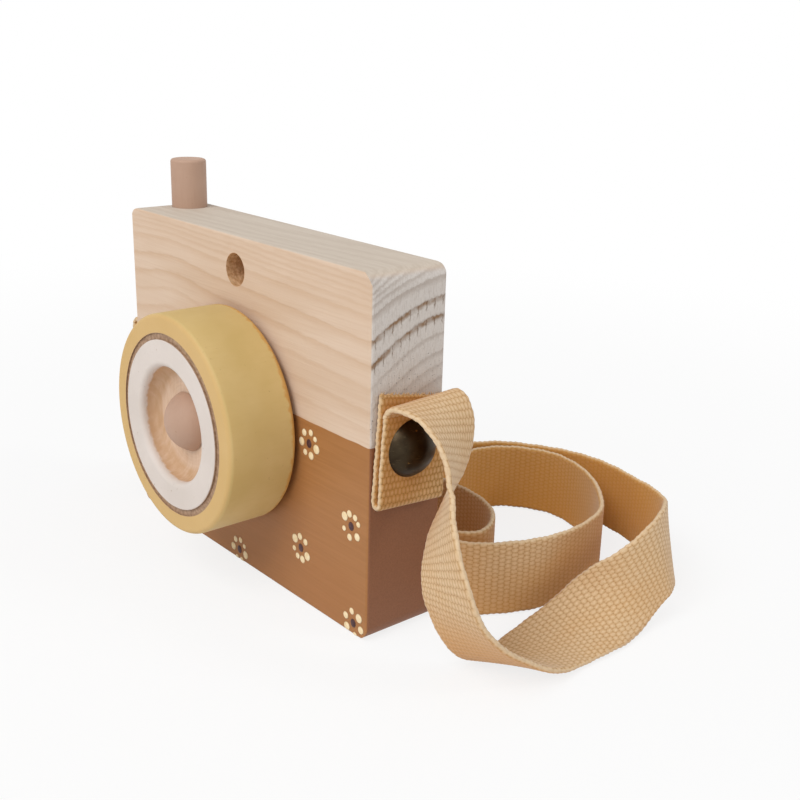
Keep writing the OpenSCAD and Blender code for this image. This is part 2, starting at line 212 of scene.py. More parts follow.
def weave_height(u, v):
    """Height of the woven surface: -0.5 in the gaps and 0.5 on the threads.

    Rows are staggered by half a cell.
    """
    row = np.floor(u / ROW_L)
    in_row = u / ROW_L - row - 0.5
    stagger = np.where(row % 2 == 0, 0.5, 0)
    cell = v / CELL_W + stagger
    in_cell = cell - np.floor(cell) - 0.5
    along_hump = 1 - np.abs(2 * in_row) ** ROW_POWER
    across_hump = CELL_LOW + (1 - CELL_LOW) * (1 - np.abs(2 * in_cell) ** CELL_POWER)
    return along_hump * across_hump - 0.5


def edge_ripple(u):
    """How far the edges stand out along the webbing."""
    quick = np.sin(2 * np.pi * u / ROW_L)
    slow = np.sin(2 * np.pi * u / (SLOW_ROWS * ROW_L) + SLOW_PHASE)
    return SCALLOP * (quick + SLOW_SHARE * slow) / (1 + SLOW_SHARE)


def even_samples(points, across):
    """Even samples of a line: distance, middle, and the directions along, across and out of the webbing."""
    travelled = run_of(points)
    count = max(2, round(travelled[-1] / ROW_L * SAMPLES_PER_ROW)) + 1
    at = np.linspace(0, travelled[-1], count)
    middle = np.stack([np.interp(at, travelled, points[:, k]) for k in range(3)], 1)
    wide = np.stack([np.interp(at, travelled, across[:, k]) for k in range(3)], 1)
    along = unit_rows(np.gradient(middle, axis=0))
    wide = unit_rows(wide - (wide * along).sum(1)[:, None] * along)
    return at, middle, along, wide, np.cross(along, wide)


def tube_faces(count, sides):
    """Quads between the rings of a tube, and a cap on each end."""
    ring = np.arange(count - 1)[:, None] * sides
    here = np.arange(sides)[None]
    beside = (here + 1) % sides
    quads = np.stack([ring + here + sides, ring + beside + sides, ring + beside, ring + here], -1)
    caps = [list(range(sides)), [(count - 1) * sides + k for k in reversed(range(sides))]]
    return quads.reshape(-1, 4).tolist() + caps


def ribbon(name, points, across, start, material, skew=0.0):
    """Webbing along a line. start is the place along the weave at the line's first point.

    skew is how much further on the first cut lies at the edge where v is 0. The weave attribute holds v, u
    and the face: 1 on one side and -1 on the other.
    """
    at, middle, along, wide, out = even_samples(points, across)
    half_cell = CELL_W / SAMPLES_PER_CELL
    v = np.arange(round(STRAP_W / half_cell) + 1) * half_cell
    u = start + at
    to_edge = np.minimum(v, STRAP_W - v)
    round_off = np.sqrt(np.clip(1 - (1 - np.clip(to_edge / EDGE_BAND, 0, 1)) ** 2, 0, 1))
    thick = (STRAP_T / 2 + RELIEF * weave_height(u[:, None], v[None, :])) * round_off[None, :]
    near_edge = np.where(v < STRAP_W / 2, -1, 1) * np.clip(1 - to_edge / (RIPPLE_CELLS * CELL_W), 0, 1)
    offset = v[None, :] - STRAP_W / 2 + edge_ripple(u)[:, None] * near_edge[None, :]

    # Each ring goes over the face and back under it; the two edge points are shared
    order = [(k, 1) for k in range(len(v))] + [(k, -1) for k in range(len(v) - 2, 0, -1)]
    columns = np.array([k for k, _ in order])
    face = np.array([f for _, f in order])
    slant = skew * np.clip(1 - at / SKEW_REACH, 0, 1)[:, None] * (1 - v[columns] / STRAP_W)[None]
    verts = middle[:, None] + offset[:, columns, None] * wide[:, None]
    verts += (thick[:, columns] * face)[..., None] * out[:, None]
    verts += slant[..., None] * along[:, None]
    weave = np.zeros(verts.shape)
    weave[..., 0] = v[columns][None]
    weave[..., 1] = u[:, None]
    weave[..., 2] = face[None]

    piece = mesh_piece(name, verts.reshape(-1, 3), tube_faces(len(at), len(order)), material)
    piece.data.attributes.new("weave", "FLOAT_VECTOR", "POINT").data.foreach_set("vector", weave.ravel())
    piece.data.shade_smooth()
    return piece


# Shader helpers

# Levels of a noise between which two colours blend, and between which a length jitters
BLEND_LEVELS = (0.35, 0.65)
JITTER_LEVELS = (0.3, 0.7)

# A mask keeps its full strength a little past its limit and fades out soon after
MASK_FULL = 0.02
MASK_END = 0.1


def srgb(red, green, blue):
    """Linear colour of an 8-bit screen colour."""
    def linear(c):
        return c / 12.92 if c <= 0.04045 else ((c + 0.055) / 1.055) ** 2.4
    return (*(linear(c / 255) for c in (red, green, blue)), 1.0)


class Look:
    """A material built up node by node. What goes into a socket is linked, or set if it is plain."""

    SOCKETS = {
        "color": "Base Color", "rough": "Roughness", "normal": "Normal", "metal": "Metallic",
        "specular": "Specular IOR Level", "sheen": "Sheen Weight", "sheen_rough": "Sheen Roughness",
    }

    def __init__(self, name):
        self.material = bpy.data.materials.new(name)
        self.material.use_nodes = True
        self.tree = self.material.node_tree
        self.shader = self.tree.nodes["Principled BSDF"]

    def fill(self, socket, value):
        """Link or set one socket."""
        if isinstance(value, bpy.types.NodeSocket):
            self.tree.links.new(value, socket)
        else:
            socket.default_value = value

    def add(self, kind, inputs=(), **settings):
        """New node with its settings and inputs."""
        made = self.tree.nodes.new("ShaderNode" + kind)
        for key, value in settings.items():
            setattr(made, key, value)
        for key, value in dict(inputs).items():
            self.fill(made.inputs[key], value)
        return made

    def math(self, operation, *values):
        return self.add("Math", dict(enumerate(values)), operation=operation).outputs[0]

    def product(self, a, b):
        return self.math("MULTIPLY", a, b)

    def hypot(self, a, b):
        return self.math("SQRT", self.math("ADD", self.product(a, a), self.product(b, b)))

    def place(self):
        """Place on the piece in millimetres."""
        coords = self.add("TexCoord").outputs["Object"]
        return self.scaled(coords, (1 / MM,) * 3)

    def vector_math(self, operation, a, b):
        return self.add("VectorMath", {0: a, 1: b}, operation=operation).outputs[0]

    def scaled(self, vector, factors):
        return self.vector_math("MULTIPLY", vector, factors)

    def split(self, vector):
        """The three parts of a vector."""
        return self.add("SeparateXYZ", {0: vector}).outputs

    def noise(self, vector, scale=1.0, detail=2.0, rough=0.5):
        settings = {"Vector": vector, "Scale": scale, "Detail": detail, "Roughness": rough}
        return self.add("TexNoise", settings).outputs["Fac"]

    def remap(self, value, low, high, to_low=0.0, to_high=1.0, smooth=False):
        """Value moved from one range to another, and held at its ends."""
        settings = {"Value": value, "From Min": low, "From Max": high, "To Min": to_low, "To Max": to_high}
        kind = "SMOOTHSTEP" if smooth else "LINEAR"
        return self.add("MapRange", settings, interpolation_type=kind).outputs[0]

    def mix(self, factor, a, b):
        made = self.add("Mix", data_type="RGBA")
        self.fill(made.inputs[0], factor)
        self.fill(made.inputs[6], a)
        self.fill(made.inputs[7], b)
        return made.outputs[2]

    def blend(self, noise, a, b, most=1.0):
        """Two colours in soft patches that follow a noise. most is the largest share of b."""
        return self.mix(self.remap(noise, *BLEND_LEVELS, 0, most), a, b)

    def jitter(self, noise, reach):
        """Length between -reach and reach that follows a noise."""
        return self.remap(noise, *JITTER_LEVELS, -reach, reach)

    def within(self, distance, limit):
        """1 up to a limit and 0 beyond it."""
        return self.remap(distance, limit + MASK_END, limit + MASK_FULL)

    def band(self, value, start, end):
        """1 between two edges and 0 outside. Each edge is the pair of places that it fades between."""
        return self.product(self.remap(value, *start), self.remap(value, *end, 1, 0))

    def ramp(self, factor, stops):
        """Grey ramp through (place, level) stops."""
        made = self.add("ValToRGB", {0: factor})
        elements = made.color_ramp.elements
        for element, (place, level) in zip(elements, (stops[0], stops[-1])):
            element.position = place
            element.color = (level, level, level, 1)
        for place, level in stops[1:-1]:
            elements.new(place).color = (level, level, level, 1)
        return made.outputs[0]

    def bump(self, height, strength, distance):
        settings = {"Height": height, "Strength": strength, "Distance": distance}
        return self.add("Bump", settings).outputs[0]

    def finish(self, **inputs):
        """Fill the inputs of the surface and return the material."""
        for key, value in inputs.items():
            self.fill(self.shader.inputs[self.SOCKETS[key]], value)
        return self.material


# Webbing and yarn

# Where the strap lies in loops, its inner face is tinted a deeper golden colour: painted light, for light
# that comes through the cloth and bounces inside the loops. Half way it turns back on itself, and from there
# on the other face is the inner one.
LOOPS_FROM = 130.0
LOOPS_TURN = 260.0
LOOPS_TO = 400.0
LOOPS_FADE = 30.0
LOOPS_LIGHT_SHARE = 0.6
TURN_FADE = 5.0
SHADE_REACH = 30.0
SHADE_SAMPLES = 6
PALE_EDGE_FROM = 0.6
PALE_EDGE_TO = 0.1
ROW_LOW = 0.42
THREAD_WANDER = (0.5, 0.7, 0)


def thread_tops(look, place):
    """1 on top of each thread and low in the gaps, on the mesh's own weave, with threads that wander."""
    wander = look.add("TexNoise", {"Vector": place, "Scale": 0.9, "Detail": 2.0}).outputs["Color"]
    wander = look.vector_math("SUBTRACT", wander, (0.5,) * 3)
    wander = look.scaled(wander, THREAD_WANDER)
    across, along, _ = look.split(look.vector_math("ADD", place, wander))

    def hump(part, power):
        off = look.math("ABSOLUTE", look.remap(part, 0, 1, -1, 1))
        return look.math("SUBTRACT", 1.0, look.math("POWER", off, power))

    row = look.math("DIVIDE", along, ROW_L)
    odd = look.math("FLOORED_MODULO", look.math("FLOOR", row), 2.0)
    cell = look.math("ADD", look.math("DIVIDE", across, CELL_W), look.remap(odd, 0, 1, 0.5, 0))
    in_cell = look.remap(hump(look.math("FRACT", cell), CELL_POWER), 0, 1, CELL_LOW, 1)
    in_row = look.remap(hump(look.math("FRACT", row), ROW_POWER), 0, 1, ROW_LOW, 1)
    return look.product(in_row, in_cell)


def painted_loop_light(look, along, face):
    """Share of the painted golden light on the inner face of the loops."""
    in_loops = look.band(along, (LOOPS_FROM, LOOPS_FROM + LOOPS_FADE), (LOOPS_TO, LOOPS_TO + LOOPS_FADE))
    turned = look.remap(along, LOOPS_TURN - TURN_FADE, LOOPS_TURN + TURN_FADE, 1, -1)
    inner_face = look.remap(look.product(face, turned), -0.5, 0.5)
    return look.product(look.product(in_loops, LOOPS_LIGHT_SHARE), inner_face)


def webbing_look(name, pale, tan, gap_shade):
    """Pale threads over golden brown gaps darkened as painted shade, with painted highlights on the thread
    tops and a soft bloom of loose fibres.
    """
    look = Look(name)
    place = look.add("Attribute", attribute_name="weave").outputs["Vector"]
    across, along, face = look.split(place)
    thread = thread_tops(look, place)
    yarn = look.noise(look.scaled(place, (5, 1.6, 1)), detail=3)
    patches = look.noise(look.scaled(place, (0.12, 0.05, 1)), detail=2)
    color = look.blend(yarn, pale, tan)
    color = look.blend(patches, color, srgb(208, 160, 102), most=0.25)
    # Painted shade: the gaps between the threads darken towards the gap colour
    color = look.mix(look.remap(thread, 0.68, 0.08, 0, 0.78, smooth=True), color, gap_shade)
    # Painted highlight: the tops of the threads turn paler
    color = look.mix(look.remap(thread, 0.72, 1.0, 0, 0.32, smooth=True), color, srgb(238, 214, 180))

    # Light that comes through the cloth turns hidden stretches golden
    shade = look.add("AmbientOcclusion", {"Distance": SHADE_REACH * MM}, samples=SHADE_SAMPLES)
    open_air = shade.outputs["AO"]
    color = look.mix(look.remap(open_air, 0.9, 0.4, 0, 0.55, smooth=True), color, srgb(212, 146, 66))
    # Painted light: golden tint on the inner face of the loops
    color = look.mix(painted_loop_light(look, along, face), color, srgb(210, 150, 62))

    # Pale woven edge
    half = STRAP_W / 2
    from_middle = look.math("ABSOLUTE", look.math("SUBTRACT", across, half))
    edge = look.remap(from_middle, half - PALE_EDGE_FROM, half - PALE_EDGE_TO, smooth=True)
    color = look.mix(look.product(edge, 0.6), color, srgb(236, 212, 178))
    height = look.math("ADD", look.product(yarn, 0.5), thread)
    normal = look.bump(height, 0.4, 0.12 * MM)
    return look.finish(color=color, rough=0.9, normal=normal, specular=0.1, sheen=0.3, sheen_rough=0.4)


def yarn_look():
    """Loose cotton yarn."""
    look = Look("loose_yarn")
    twist = look.noise(look.place(), scale=1.5, detail=3)
    color = look.blend(twist, srgb(220, 182, 128), srgb(190, 150, 96))
    normal = look.bump(twist, 0.4, 0.1 * MM)
    return look.finish(color=color, rough=0.9, normal=normal, specular=0.1, sheen=0.4)


# Strap

webbing = webbing_look("webbing", srgb(224, 195, 157), srgb(206, 172, 130), srgb(168, 121, 70))
line, line_across = strap_line()
strap = ribbon("strap_webbing", line, line_across, 0.0, webbing)
strap_length = run_of(line)[-1]
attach(strap, "camera_body")
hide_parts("strap")


# Folded ends: an outer layer from the free strap, a bend, and an inner layer back to the cut

FOLD_TO_NAIL = 12.7
FOLD_TO_STRAP = 21.0
FOLD_TO_CUT = 25.5
LAYER_MID = 0.75
BEND_R = 1.0
BEND_STEPS = 12
LAYER_STEPS = 14
RIGHT_BULGE = 0.4
LEFT_BULGE = 1.8
BULGE_REACH = 4.0
CUT_SKEW = 2.3

# Loose yarns along the right cut
FRAYS = 46
FRAY_R = 0.26
FRAY_SIDES = 5
FRAY_ROOT = 0.3
FRAY_SHIFT = (-0.8, 1.8)
FRAY_SHARES = (0.01, 0.99)
FRAY_SPREAD = (-0.3, 0.3)
FRAY_LENGTH = (0.4, 1.3)
FRAY_LEAN = (-0.8, 0.8)
FRAY_LIFT = (0, 0.6)
FRAY_SEED = 4


def fold_line(side, nail_z, lean, upward, bulge):
    """Middle line of a folded end from the free strap back to the cut, and the direction across it.

    side and upward are 1 or -1: the end of the block, and the way from the bend to the cut. The bend
    stands off by bulge.
    """
    bend = BEND_R + bulge / 2
    drawn = []
    for k in range(LAYER_STEPS):
        up = FOLD_TO_STRAP * (1 - k / LAYER_STEPS)
        drawn.append((STRAP_MID + bulge * math.exp(-(up / BULGE_REACH) ** 2), up))
    for k in range(BEND_STEPS + 1):
        turn = math.pi * k / BEND_STEPS
        drawn.append((LAYER_MID + bend + bend * math.cos(turn), -bend * math.sin(turn)))
    drawn.append((LAYER_MID, FOLD_TO_CUT))
    points = []
    for out, up in drawn:
        height = upward * (up - FOLD_TO_NAIL)
        y = height * math.sin(lean)
        z = nail_z + height * math.cos(lean)
        points.append((side * (BLOCK_RIGHT + out), y, z))
    across = np.tile((0, -math.cos(lean), math.sin(lean)), (len(points), 1))
    return np.array(points), across


def folded_end(name, node, points, across, start, skew=0.0):
    """Webbing in place of a folded end, in the darker copy with painted shade."""
    end = ribbon(name, points, across, start, shaded_folded_webbing, skew)
    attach(end, "camera_body")
    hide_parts(node)


def frayed_yarns(name, cut, up, across, material):
    """Short loose yarns that stand out of a cut end, each a slim pointed cone."""
    chance = np.random.default_rng(FRAY_SEED)
    out = np.cross(up, across)
    verts = []
    faces = []
    for k in range(FRAYS):
        share = np.clip((k + chance.uniform(*FRAY_SHIFT)) / FRAYS, *FRAY_SHARES)
        base = cut + (share - 0.5) * STRAP_W * across - (CUT_SKEW * (1 - share) + FRAY_ROOT) * up
        base = base + chance.uniform(*FRAY_SPREAD) * out
        tip = base + chance.uniform(*FRAY_LENGTH) * up
        tip = tip + chance.uniform(*FRAY_LEAN) * across
        tip = tip + chance.uniform(*FRAY_LIFT) * out
        first = len(verts)
        for turn in np.arange(FRAY_SIDES) * 2 * np.pi / FRAY_SIDES:
            verts.append(base + FRAY_R * (math.cos(turn) * across + math.sin(turn) * out))
        verts.append(tip)
        for i in range(FRAY_SIDES):
            faces.append((first + i, first + (i + 1) % FRAY_SIDES, first + FRAY_SIDES))
        faces.append([first + i for i in reversed(range(FRAY_SIDES))])
    piece = mesh_piece(name, verts, faces, material)
    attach(piece, "camera_body")


# The weave runs on from the free strap into both ends, so the right one is drawn from its cut
# The folded ends get a darker copy of the webbing: painted shade, as they lie in the shade of the strap
shaded_folded_webbing = webbing_look("webbing_folded_shaded", srgb(203, 165, 114), srgb(181, 139, 87), srgb(108, 71, 36))
right_line, right_across = fold_line(1, RIGHT_NAIL_Z, END_LEAN, 1, RIGHT_BULGE)
right_line = right_line[::-1]
right_start = -run_of(right_line)[-1]
folded_end("webbing_end_right", "strap_end_right", right_line, right_across, right_start, CUT_SKEW)
cut_up = unit_rows(right_line[:1] - right_line[1:2])[0]
frayed_yarns("webbing_yarns_right", right_line[0], cut_up, right_across[0], yarn_look())
left_line, left_across = fold_line(-1, LEFT_NAIL_Z, 0.0, -1, LEFT_BULGE)
folded_end("webbing_end_left", "strap_end_left", left_line, left_across, strap_length)


# Wood of the block

# Growth rings as distance from the pith, which runs along X behind the back face, and strength
PITH_Y, PITH_Z = 18.0, 30.0
RINGS = [
    (5, 0.6), (9.5, 0.7), (14, 0.6), (18, 0.8), (22.5, 0.6), (27, 0.75), (31, 0.6), (34.5, 0.7), (37.6, 0.6),
    (40.6, 0.75), (44.7, 0.65), (49, 1.0), (53.3, 1.0), (57.9, 0.8), (59.8, 0.7), (61.2, 0.6), (62.4, 0.75),
    (63.7, 0.6), (64.9, 0.8), (66.2, 0.9),
]
RING_SPAN = 70.0
RINGS_PER_RAMP = 10
RING_WANDER = 0.8
RING_RIPPLE = 0.2

# A ring darkens over a share of the way from the ring before it, within limits
SOFT_SHARE = 0.45
SOFT_LEAST = 0.4
SOFT_MOST = 1.6
SOFT_FIRST = 1.0
RING_STOP = 0.35

# Swelling that the rings bend around, how far it lifts them at two heights, and their slope to the right
SWELL_X = -32.0
SWELL_REACH = 15.0
SWELL_HEIGHTS = (60.0, 90.0)
SWELL_LIFTS = (4.5, 0.3)
SLOPE = 0.05

# Two rings of the sawn ends are tinged and cracked. The edges are distances inwards from the ring.
CRACKED_RINGS = (49.0, 53.3)
TINGE_EDGES = ((-0.2, 0.1), (0.5, 1.3))
CRACK_EDGES = ((-0.1, 0.1), (1.6, 2.6))
CRACK_STEP = 1.23
CRACK_SIDES = (0.06, 0.2)
PIT_HEIGHTS = (76.0, 66.0)
LATE_HEIGHTS = (58.0, 74.0)
LATE_SHARES = (0.3, 0.65)

PAINT_Z = 49.8
PAINT_FADE = 0.06
PAINT_WAVER = 0.12
SIGHT_Z = 81.3
SIGHT_R = 4.25


def ring_ramp(look, radius, rings):
    """Latewood: each ring darkens slowly outwards and stops short."""
    stops = [(0.0, 0.0)]
    before = 0.0
    for at, level in rings:
        soft = SOFT_FIRST
        if before:
            soft = max(min((at - before) * SOFT_SHARE, SOFT_MOST), SOFT_LEAST)
        for place, height in ((at - soft, 0.0), (at, level), (at + RING_STOP, 0.0)):
            stops.append((place / RING_SPAN, height))
        before = at
    return look.ramp(look.math("DIVIDE", radius, RING_SPAN), stops)


def ring_radius(look, place, ripple):
    """Distance from the pith, with the swelling, the slope and some wandering."""
    x, y, z = look.split(place)
    reach = look.math("DIVIDE", look.math("SUBTRACT", x, SWELL_X), SWELL_REACH)
    swell = look.math("EXPONENT", look.product(look.product(reach, reach), -1.0))
    lift = look.product(swell, look.remap(z, *SWELL_HEIGHTS, *SWELL_LIFTS))
    drop = look.product(look.math("MAXIMUM", x, 0.0), SLOPE)
    wander = look.noise(look.scaled(place, (0.012, 0.04, 0.04)), detail=1)
    wander = look.remap(wander, 0.25, 0.75, -RING_WANDER, RING_WANDER)
    straight_z = look.math("ADD", look.math("SUBTRACT", z, lift), look.math("ADD", drop, wander))
    straight_z = look.math("SUBTRACT", straight_z, SLOPE * BLOCK_RIGHT)
    radius = look.hypot(look.math("SUBTRACT", y, PITH_Y), look.math("SUBTRACT", straight_z, PITH_Z))
    return look.math("ADD", radius, look.jitter(ripple, RING_RIPPLE))


def long_grain(look, place, late, fibre, on_top):
    """Long faces: warm, with soft tan lines and fine fibres along the grain. The top is greyer."""
    blotch = look.noise(look.scaled(place, (0.02, 0.09, 0.09)), detail=2)
    warm = look.blend(blotch, srgb(222, 198, 176), srgb(214, 187, 162))
    warm = look.mix(look.product(late, 0.5), warm, srgb(198, 162, 128))
    warm = look.mix(look.remap(fibre, 0.45, 0.75, 0, 0.35), warm, srgb(205, 172, 143))
    greyed = look.mix(look.remap(fibre, 0.4, 0.7, 0, 0.5), srgb(208, 195, 180), srgb(190, 175, 158))
    greyed = look.mix(look.product(late, 0.4), greyed, srgb(176, 158, 140))
    return look.mix(on_top, warm, greyed)


def cracked_ring(look, color, ring, radius, y, ripple, spots):
    """A brown tinge in one ring, and short cracks that hang below it."""
    inner = look.math("SUBTRACT", ring, radius)
    tinge = look.product(look.band(inner, *TINGE_EDGES), look.remap(spots, 0.4, 0.6))
    color = look.mix(look.product(tinge, 0.8), color, srgb(128, 90, 44))
    uneven_y = look.math("ADD", y, look.jitter(ripple, RING_RIPPLE))
    comb = look.math("PINGPONG", uneven_y, CRACK_STEP)
    crack = look.product(look.band(inner, *CRACK_EDGES), look.remap(comb, *CRACK_SIDES, 1, 0))
    return look.mix(look.product(crack, 0.7), color, srgb(110, 84, 60))


def sawn_end(look, place, radius, late, fibre, saw, ripple):
    """Sawn ends: pale grey with dark lines, upright saw marks, two cracked rings and small pits."""
    _, y, z = look.split(place)
    color = look.mix(look.remap(fibre, 0.4, 0.7, 0, 0.35), srgb(212, 204, 197), srgb(195, 185, 176))
    dark = look.product(late, look.remap(z, *LATE_HEIGHTS, *LATE_SHARES))
    color = look.mix(dark, color, srgb(142, 122, 106))
    color = look.mix(look.remap(saw, 0.5, 0.7, 0, 0.35), color, srgb(168, 154, 142))
    spots = look.noise(look.scaled(place, (0.2, 0.35, 0.35)), detail=2)
    for ring in CRACKED_RINGS:
        color = cracked_ring(look, color, ring, radius, y, ripple, spots)
    pits = look.noise(look.scaled(place, (1.0, 1.3, 2.6)), detail=1)
    pit = look.product(look.remap(pits, 0.68, 0.74), look.remap(z, *PIT_HEIGHTS))
    return look.mix(look.product(pit, 0.8), color, srgb(84, 70, 60))


def bare_bore(look, color, place, ripple):
    """Golden brown wood inside the sight hole."""
    x, _, z = look.split(place)
    from_axis = look.hypot(x, look.math("SUBTRACT", z, SIGHT_Z))
    hole = look.blend(ripple, srgb(222, 184, 142), srgb(188, 142, 98))
    return look.mix(look.within(from_axis, SIGHT_R), color, hole)


def brown_paint(look, place, brush, fibre, on_end):
    """Brown paint, duller and redder where the end grain drinks it."""
    cloud = look.noise(look.scaled(place, (0.035, 0.035, 0.035)), detail=2)
    brown = look.blend(brush, srgb(172, 119, 71), srgb(165, 113, 66))
    brown = look.blend(cloud, brown, srgb(163, 107, 58), most=0.5)
    end_brown = look.mix(look.remap(fibre, 0.35, 0.7), srgb(141, 93, 64), srgb(131, 85, 57))
    return look.mix(on_end, brown, end_brown)


def pine_look():
    """Pine with its grain in depth, so that lines meet at the edges, and painted brown below."""
    look = Look("pine_block")
    place = look.place()
    normal = look.split(look.add("TexCoord").outputs["Normal"])
    on_end = look.remap(look.math("ABSOLUTE", normal[0]), 0.55, 0.85, smooth=True)
    on_top = look.remap(normal[2], 0.5, 0.9, smooth=True)
    ripple = look.noise(look.scaled(place, (0.25, 1.1, 1.1)), detail=2)
    fibre = look.noise(look.scaled(place, (0.05, 2.4, 2.4)), detail=3, rough=0.6)
    saw = look.noise(look.scaled(place, (1.5, 3.2, 0.7)), detail=3)
    brush = look.noise(look.scaled(place, (0.06, 1.6, 1.6)), detail=3)
    radius = ring_radius(look, place, ripple)
    inner_rings = ring_ramp(look, radius, RINGS[:RINGS_PER_RAMP])
    outer_rings = ring_ramp(look, radius, RINGS[RINGS_PER_RAMP:])
    late = look.math("ADD", inner_rings, outer_rings)

    wood = long_grain(look, place, late, fibre, on_top)
    wood = look.mix(on_end, wood, sawn_end(look, place, radius, late, fibre, saw, ripple))
    wood = bare_bore(look, wood, place, ripple)
    waver = look.noise(look.scaled(place, (0.12, 0.12, 0.0)), detail=1)
    paint_edge = look.math("ADD", look.split(place)[2], look.jitter(waver, PAINT_WAVER))
    below = look.remap(paint_edge, PAINT_Z + PAINT_FADE, PAINT_Z - PAINT_FADE)
    color = look.mix(below, wood, brown_paint(look, place, brush, fibre, on_end))

    # Fibres stand up on bare wood and show faintly through the paint
    long_height = look.math("SUBTRACT", look.product(fibre, 0.5), look.product(late, 0.3))
    end_height = look.math("SUBTRACT", look.product(saw, 1.5), look.product(late, 0.9))
    bare_height = look.mix(on_end, long_height, end_height)
    height = look.mix(below, bare_height, look.product(brush, 0.35))
    rough = look.remap(below, 0, 1, 0.72, 0.5)
    return look.finish(color=color, rough=rough, normal=look.bump(height, 0.5, 0.2 * MM), specular=0.3)


# Paint and bare wood of the lens

barrel_low, barrel_high = box_mm("lens_barrel")
face_low, face_high = box_mm("lens_face")
LENS_Z = (barrel_low.z + barrel_high.z) / 2
BARREL_FRONT_Y = barrel_low.y
BARREL_REAR_Y = barrel_high.y
FACE_FRONT_Y = face_low.y
FACE_R = (face_high.x - face_low.x) / 2
GROOVE_W = 1.6
GROOVE_OUTER_R = FACE_R + GROOVE_W
DISH_R = 14.9

# Paint is golden near the front of the drum and browner, more orange, in a ragged band near its rear edge
GOLD_FULL = 0.2
GOLD_END = 0.9
REAR_BAND_START = 1.7
REAR_BAND_FULL = 0.9
REAR_BAND_RAGGED = 0.5

# The rim of the face is bare from a little behind its front. Distances are from the edge and the front.
RIM_START = 0.15
RIM_FULL = 0.05
RIM_BEHIND = (0.1, 0.25)

# In the dish the paint ends at a depth. Further in than its wall the wood is pale.
DISH_PAINT_DEPTH = 1.9
DISH_PAINT_FADE = 0.3
DISH_RAGGED = 0.25
DISH_LIP = (0.3, 0.1)
WALL_START = 3.4
WALL_FULL = 1.6


def lens_place(look):
    """Place on the lens, distance from its axis and depth along it."""
    place = look.place()
    x, y, z = look.split(place)
    return place, look.hypot(x, look.math("SUBTRACT", z, LENS_Z)), y


def paint(look, place, light, dark, fine=(1.2, 0.25, 1.2)):
    """Matt paint with soft clouds, fine streaks of the wood under it and a few specks."""
    cloud = look.noise(place, scale=0.06, detail=3)
    streak = look.noise(look.scaled(place, fine), detail=3)
    speck = look.noise(place, scale=0.9, detail=2)
    color = look.blend(cloud, light, dark)
    color = look.mix(look.remap(streak, 0.5, 0.75, 0, 0.3), color, dark)
    color = look.mix(look.remap(speck, 0.72, 0.78, 0, 0.35), color, srgb(150, 116, 70))
    height = look.math("ADD", look.product(streak, 0.6), look.product(speck, 0.5))
    return color, height


def painted(look, color, height, rough):
    """Finish that all matt paints share."""
    return look.finish(color=color, rough=rough, normal=look.bump(height, 0.35, 0.12 * MM), specular=0.3)


def bare_groove(look, place):
    """Unpainted wood of the groove, brown and grainy."""
    bare = look.noise(look.scaled(place, (1.0, 2.5, 1.0)), detail=4, rough=0.6)
    return look.blend(bare, srgb(184, 152, 124), srgb(144, 112, 86))


def barrel_look():
    """Mustard paint, more golden on the front and browner at the rear edge, with a bare groove."""
    look = Look("mustard_paint")
    place, radius, y = lens_place(look)
    color, height = paint(look, place, srgb(213, 185, 126), srgb(204, 175, 112))
    on_front = look.remap(y, BARREL_FRONT_Y + GOLD_END, BARREL_FRONT_Y + GOLD_FULL, smooth=True)
    color = look.mix(look.product(on_front, 0.6), color, srgb(212, 171, 112))
    # A ragged band near the rear edge turns browner and more orange
    ragged_y = look.math("ADD", y, look.jitter(look.noise(place, scale=0.5, detail=2), REAR_BAND_RAGGED))
    rear_band = look.remap(ragged_y, BARREL_REAR_Y - REAR_BAND_START, BARREL_REAR_Y - REAR_BAND_FULL, smooth=True)
    color = look.mix(look.product(rear_band, 0.75), color, srgb(204, 150, 72))
    color = look.mix(look.within(radius, GROOVE_OUTER_R), color, bare_groove(look, place))
    return painted(look, color, height, 0.55)


def turned_wood(look, place, radius):
    """Turned, unpainted dish: pale floor with faint circles, and a browner wall, with grain and with painted
    shade in the hollow.
    """
    outwards = look.add("CombineXYZ", {0: radius}).outputs[0]
    circles = {"Vector": outwards, "Scale": 0.35, "Distortion": 2.0, "Detail": 2.0}
    turned = look.add("TexWave", circles).outputs["Fac"]
    patch = look.noise(place, scale=0.12, detail=3)
    grain = look.noise(look.scaled(place, (1.1, 0.5, 0.25)), detail=3)
    wood = look.blend(grain, srgb(224, 196, 172), srgb(215, 184, 157))
    wood = look.mix(look.remap(patch, 0.5, 0.7, 0, 0.35), wood, srgb(208, 164, 120))
    wood = look.mix(look.product(turned, 0.05), wood, srgb(150, 108, 70))
    # The wall turns browner along the grain: partly the wood's grain, partly painted shade of the hollow
    on_shaded_wall = look.remap(radius, DISH_R - WALL_START, DISH_R - WALL_FULL, smooth=True)
    browner_and_shaded = look.product(on_shaded_wall, look.remap(grain, 0.3, 0.7, 0.5, 0.8))
    return look.mix(browner_and_shaded, wood, srgb(190, 150, 110)), look.product(turned, 0.5)


